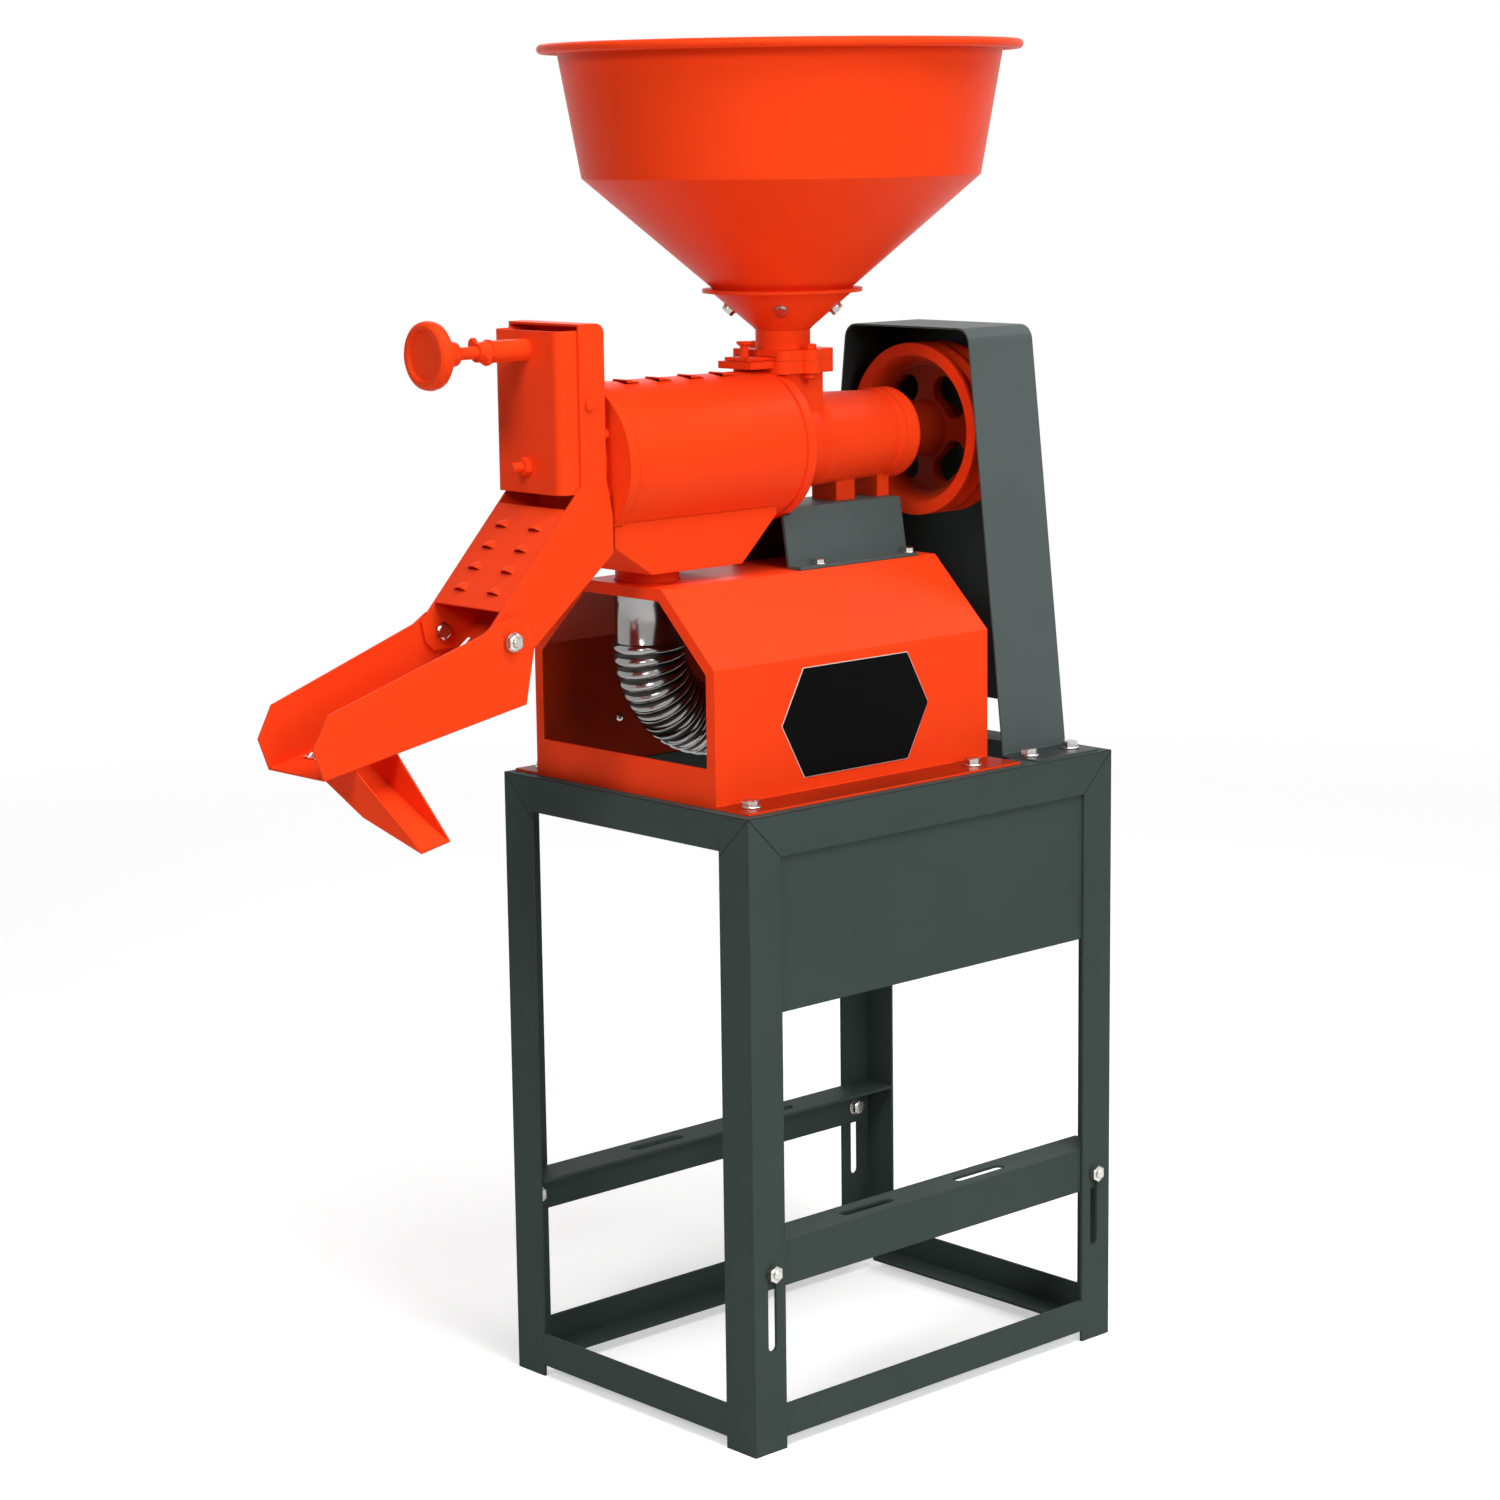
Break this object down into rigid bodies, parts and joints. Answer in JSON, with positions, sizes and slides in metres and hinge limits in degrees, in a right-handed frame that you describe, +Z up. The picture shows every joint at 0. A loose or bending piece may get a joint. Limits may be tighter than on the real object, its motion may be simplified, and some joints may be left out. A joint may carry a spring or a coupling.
{
  "type": "rice huller",
  "caption": "Upright rice mill on an angle-iron stand: round feed hopper, horizontal milling drum, outlet chute with a hand screw, tilting trough, bran hose, belt guard and motor rails.",
  "frame": {"origin": "on the floor, at the centre of the rectangle of the stand's feet", "axes": "+X along the milling shaft towards the belt guard, +Y to the back, +Z up"},
  "size_m": [0.7557, 0.402, 1.1354],
  "materials": {
    "stand_paint": "satin",
    "guard_paint": "satin",
    "orange_paint": "gloss",
    "orange_casting": "painted gloss",
    "zinc_steel": "zinc plated",
    "bright_steel": "bright",
    "roller_iron": "machined"
  },
  "bodies": {
    "frame": {"leg_front_left": "stand_paint", "leg_front_right": "stand_paint", "leg_back_left": "stand_paint", "leg_back_right": "stand_paint", "top_rail_front": "stand_paint", "top_rail_back": "stand_paint", "top_rail_left": "stand_paint", "top_rail_right": "stand_paint", "bottom_rail_front": "stand_paint", "bottom_rail_back": "stand_paint", "bottom_rail_left": "stand_paint", "bottom_rail_right": "stand_paint", "skirt_panel": "stand_paint", "saddle_bracket": "stand_paint", "belt_guard": "guard_paint", "base_hood": "orange_paint", "drum_cover": "orange_paint", "bran_hopper": "orange_paint", "feed_hopper": "orange_paint", "hopper_seat": "orange_paint", "outlet_chute": "orange_paint", "outlet_cover": "orange_paint", "louvre_plate": "orange_paint", "flange_studs": "orange_paint", "feed_flange_bolts": "orange_paint", "cover_bolt": "orange_paint", "flap_pin": "orange_paint", "feed_casting": "orange_casting", "outlet_flange": "orange_casting", "bearing_cover": "orange_casting", "deck_bolts": "zinc_steel", "saddle_bolts": "zinc_steel", "hopper_bolts": "zinc_steel", "trough_bolts": "zinc_steel", "bran_hose": "bright_steel", "rice_screen": "bright_steel", "bearing_outer_rings": "bright_steel", "flap_spring": "bright_steel"},
    "shaft": {"main_shaft": "bright_steel", "milling_roller": "roller_iron", "roller_nut": "zinc_steel", "pulley": "orange_casting", "pulley_key": "zinc_steel", "pulley_nut": "zinc_steel", "bearing_inner_rings": "bright_steel"},
    "screw_pad": {"screw_pad": "zinc_steel"},
    "knob": {"adjusting_screw": "orange_paint", "hand_knob": "orange_paint"},
    "lock_washer": {"lock_washer": "orange_paint"},
    "wing_nut": {"wing_nut": "orange_paint"},
    "gate": {"feed_gate": "orange_paint", "gate_knob": "orange_paint"},
    "flap": {"outlet_flap": "orange_paint"},
    "trough": {"trough": "orange_paint", "trough_mesh": "bright_steel", "side_chute": "orange_paint"},
    "front_motor_rail": {"motor_rail_front": "stand_paint", "rail_bolts_front": "zinc_steel"},
    "back_motor_rail": {"motor_rail_back": "stand_paint", "rail_bolts_back": "zinc_steel"}
  },
  "joints": [
    {"name": "shaft_spin", "type": "hinge", "parent": "frame", "child": "shaft", "pos_m": [0, 0.008, 0.805], "axis": [1, 0, 0], "continuous": true},
    {"name": "screw_feed", "type": "slide", "parent": "frame", "child": "screw_pad", "axis": [1, 0, 0], "range_m": [0, 0.008]},
    {"name": "knob_turn", "type": "hinge", "parent": "screw_pad", "child": "knob", "pos_m": [-0.35, 0.008, 0.897], "axis": [1, 0, 0], "range_deg": [0, 1440]},
    {"name": "washer_slide", "type": "slide", "parent": "frame", "child": "lock_washer", "axis": [-1, 0, 0], "range_m": [0, 0.006]},
    {"name": "wing_nut_turn", "type": "hinge", "parent": "lock_washer", "child": "wing_nut", "pos_m": [-0.345, 0.008, 0.897], "axis": [-1, 0, 0], "range_deg": [0, 1080]},
    {"name": "gate_slide", "type": "slide", "parent": "frame", "child": "gate", "axis": [-1, 0, 0], "range_m": [0, 0.046]},
    {"name": "flap_swing", "type": "hinge", "parent": "frame", "child": "flap", "pos_m": [-0.271, 0.008, 0.854], "axis": [0, 1, 0], "range_deg": [0, 11], "deforming": ["flap_spring"]},
    {"name": "trough_tilt", "type": "hinge", "parent": "frame", "child": "trough", "pos_m": [-0.357, 0.008, 0.676], "axis": [0, 1, 0], "range_deg": [-12, 15]},
    {"name": "front_rail_height", "type": "slide", "parent": "frame", "child": "front_motor_rail", "axis": [0, 0, 1], "range_m": [-0.062, 0]},
    {"name": "back_rail_height", "type": "slide", "parent": "frame", "child": "back_motor_rail", "axis": [0, 0, 1], "range_m": [-0.062, 0]}
  ],
  "couplings": [
    {"joint": "screw_feed", "follows": "knob_turn", "m_per_rad": 0.00031831},
    {"joint": "flap_swing", "follows": "knob_turn", "ratio": 0.00756},
    {"joint": "wing_nut_turn", "follows": "washer_slide", "rad_per_m": 3141.6}
  ]
}
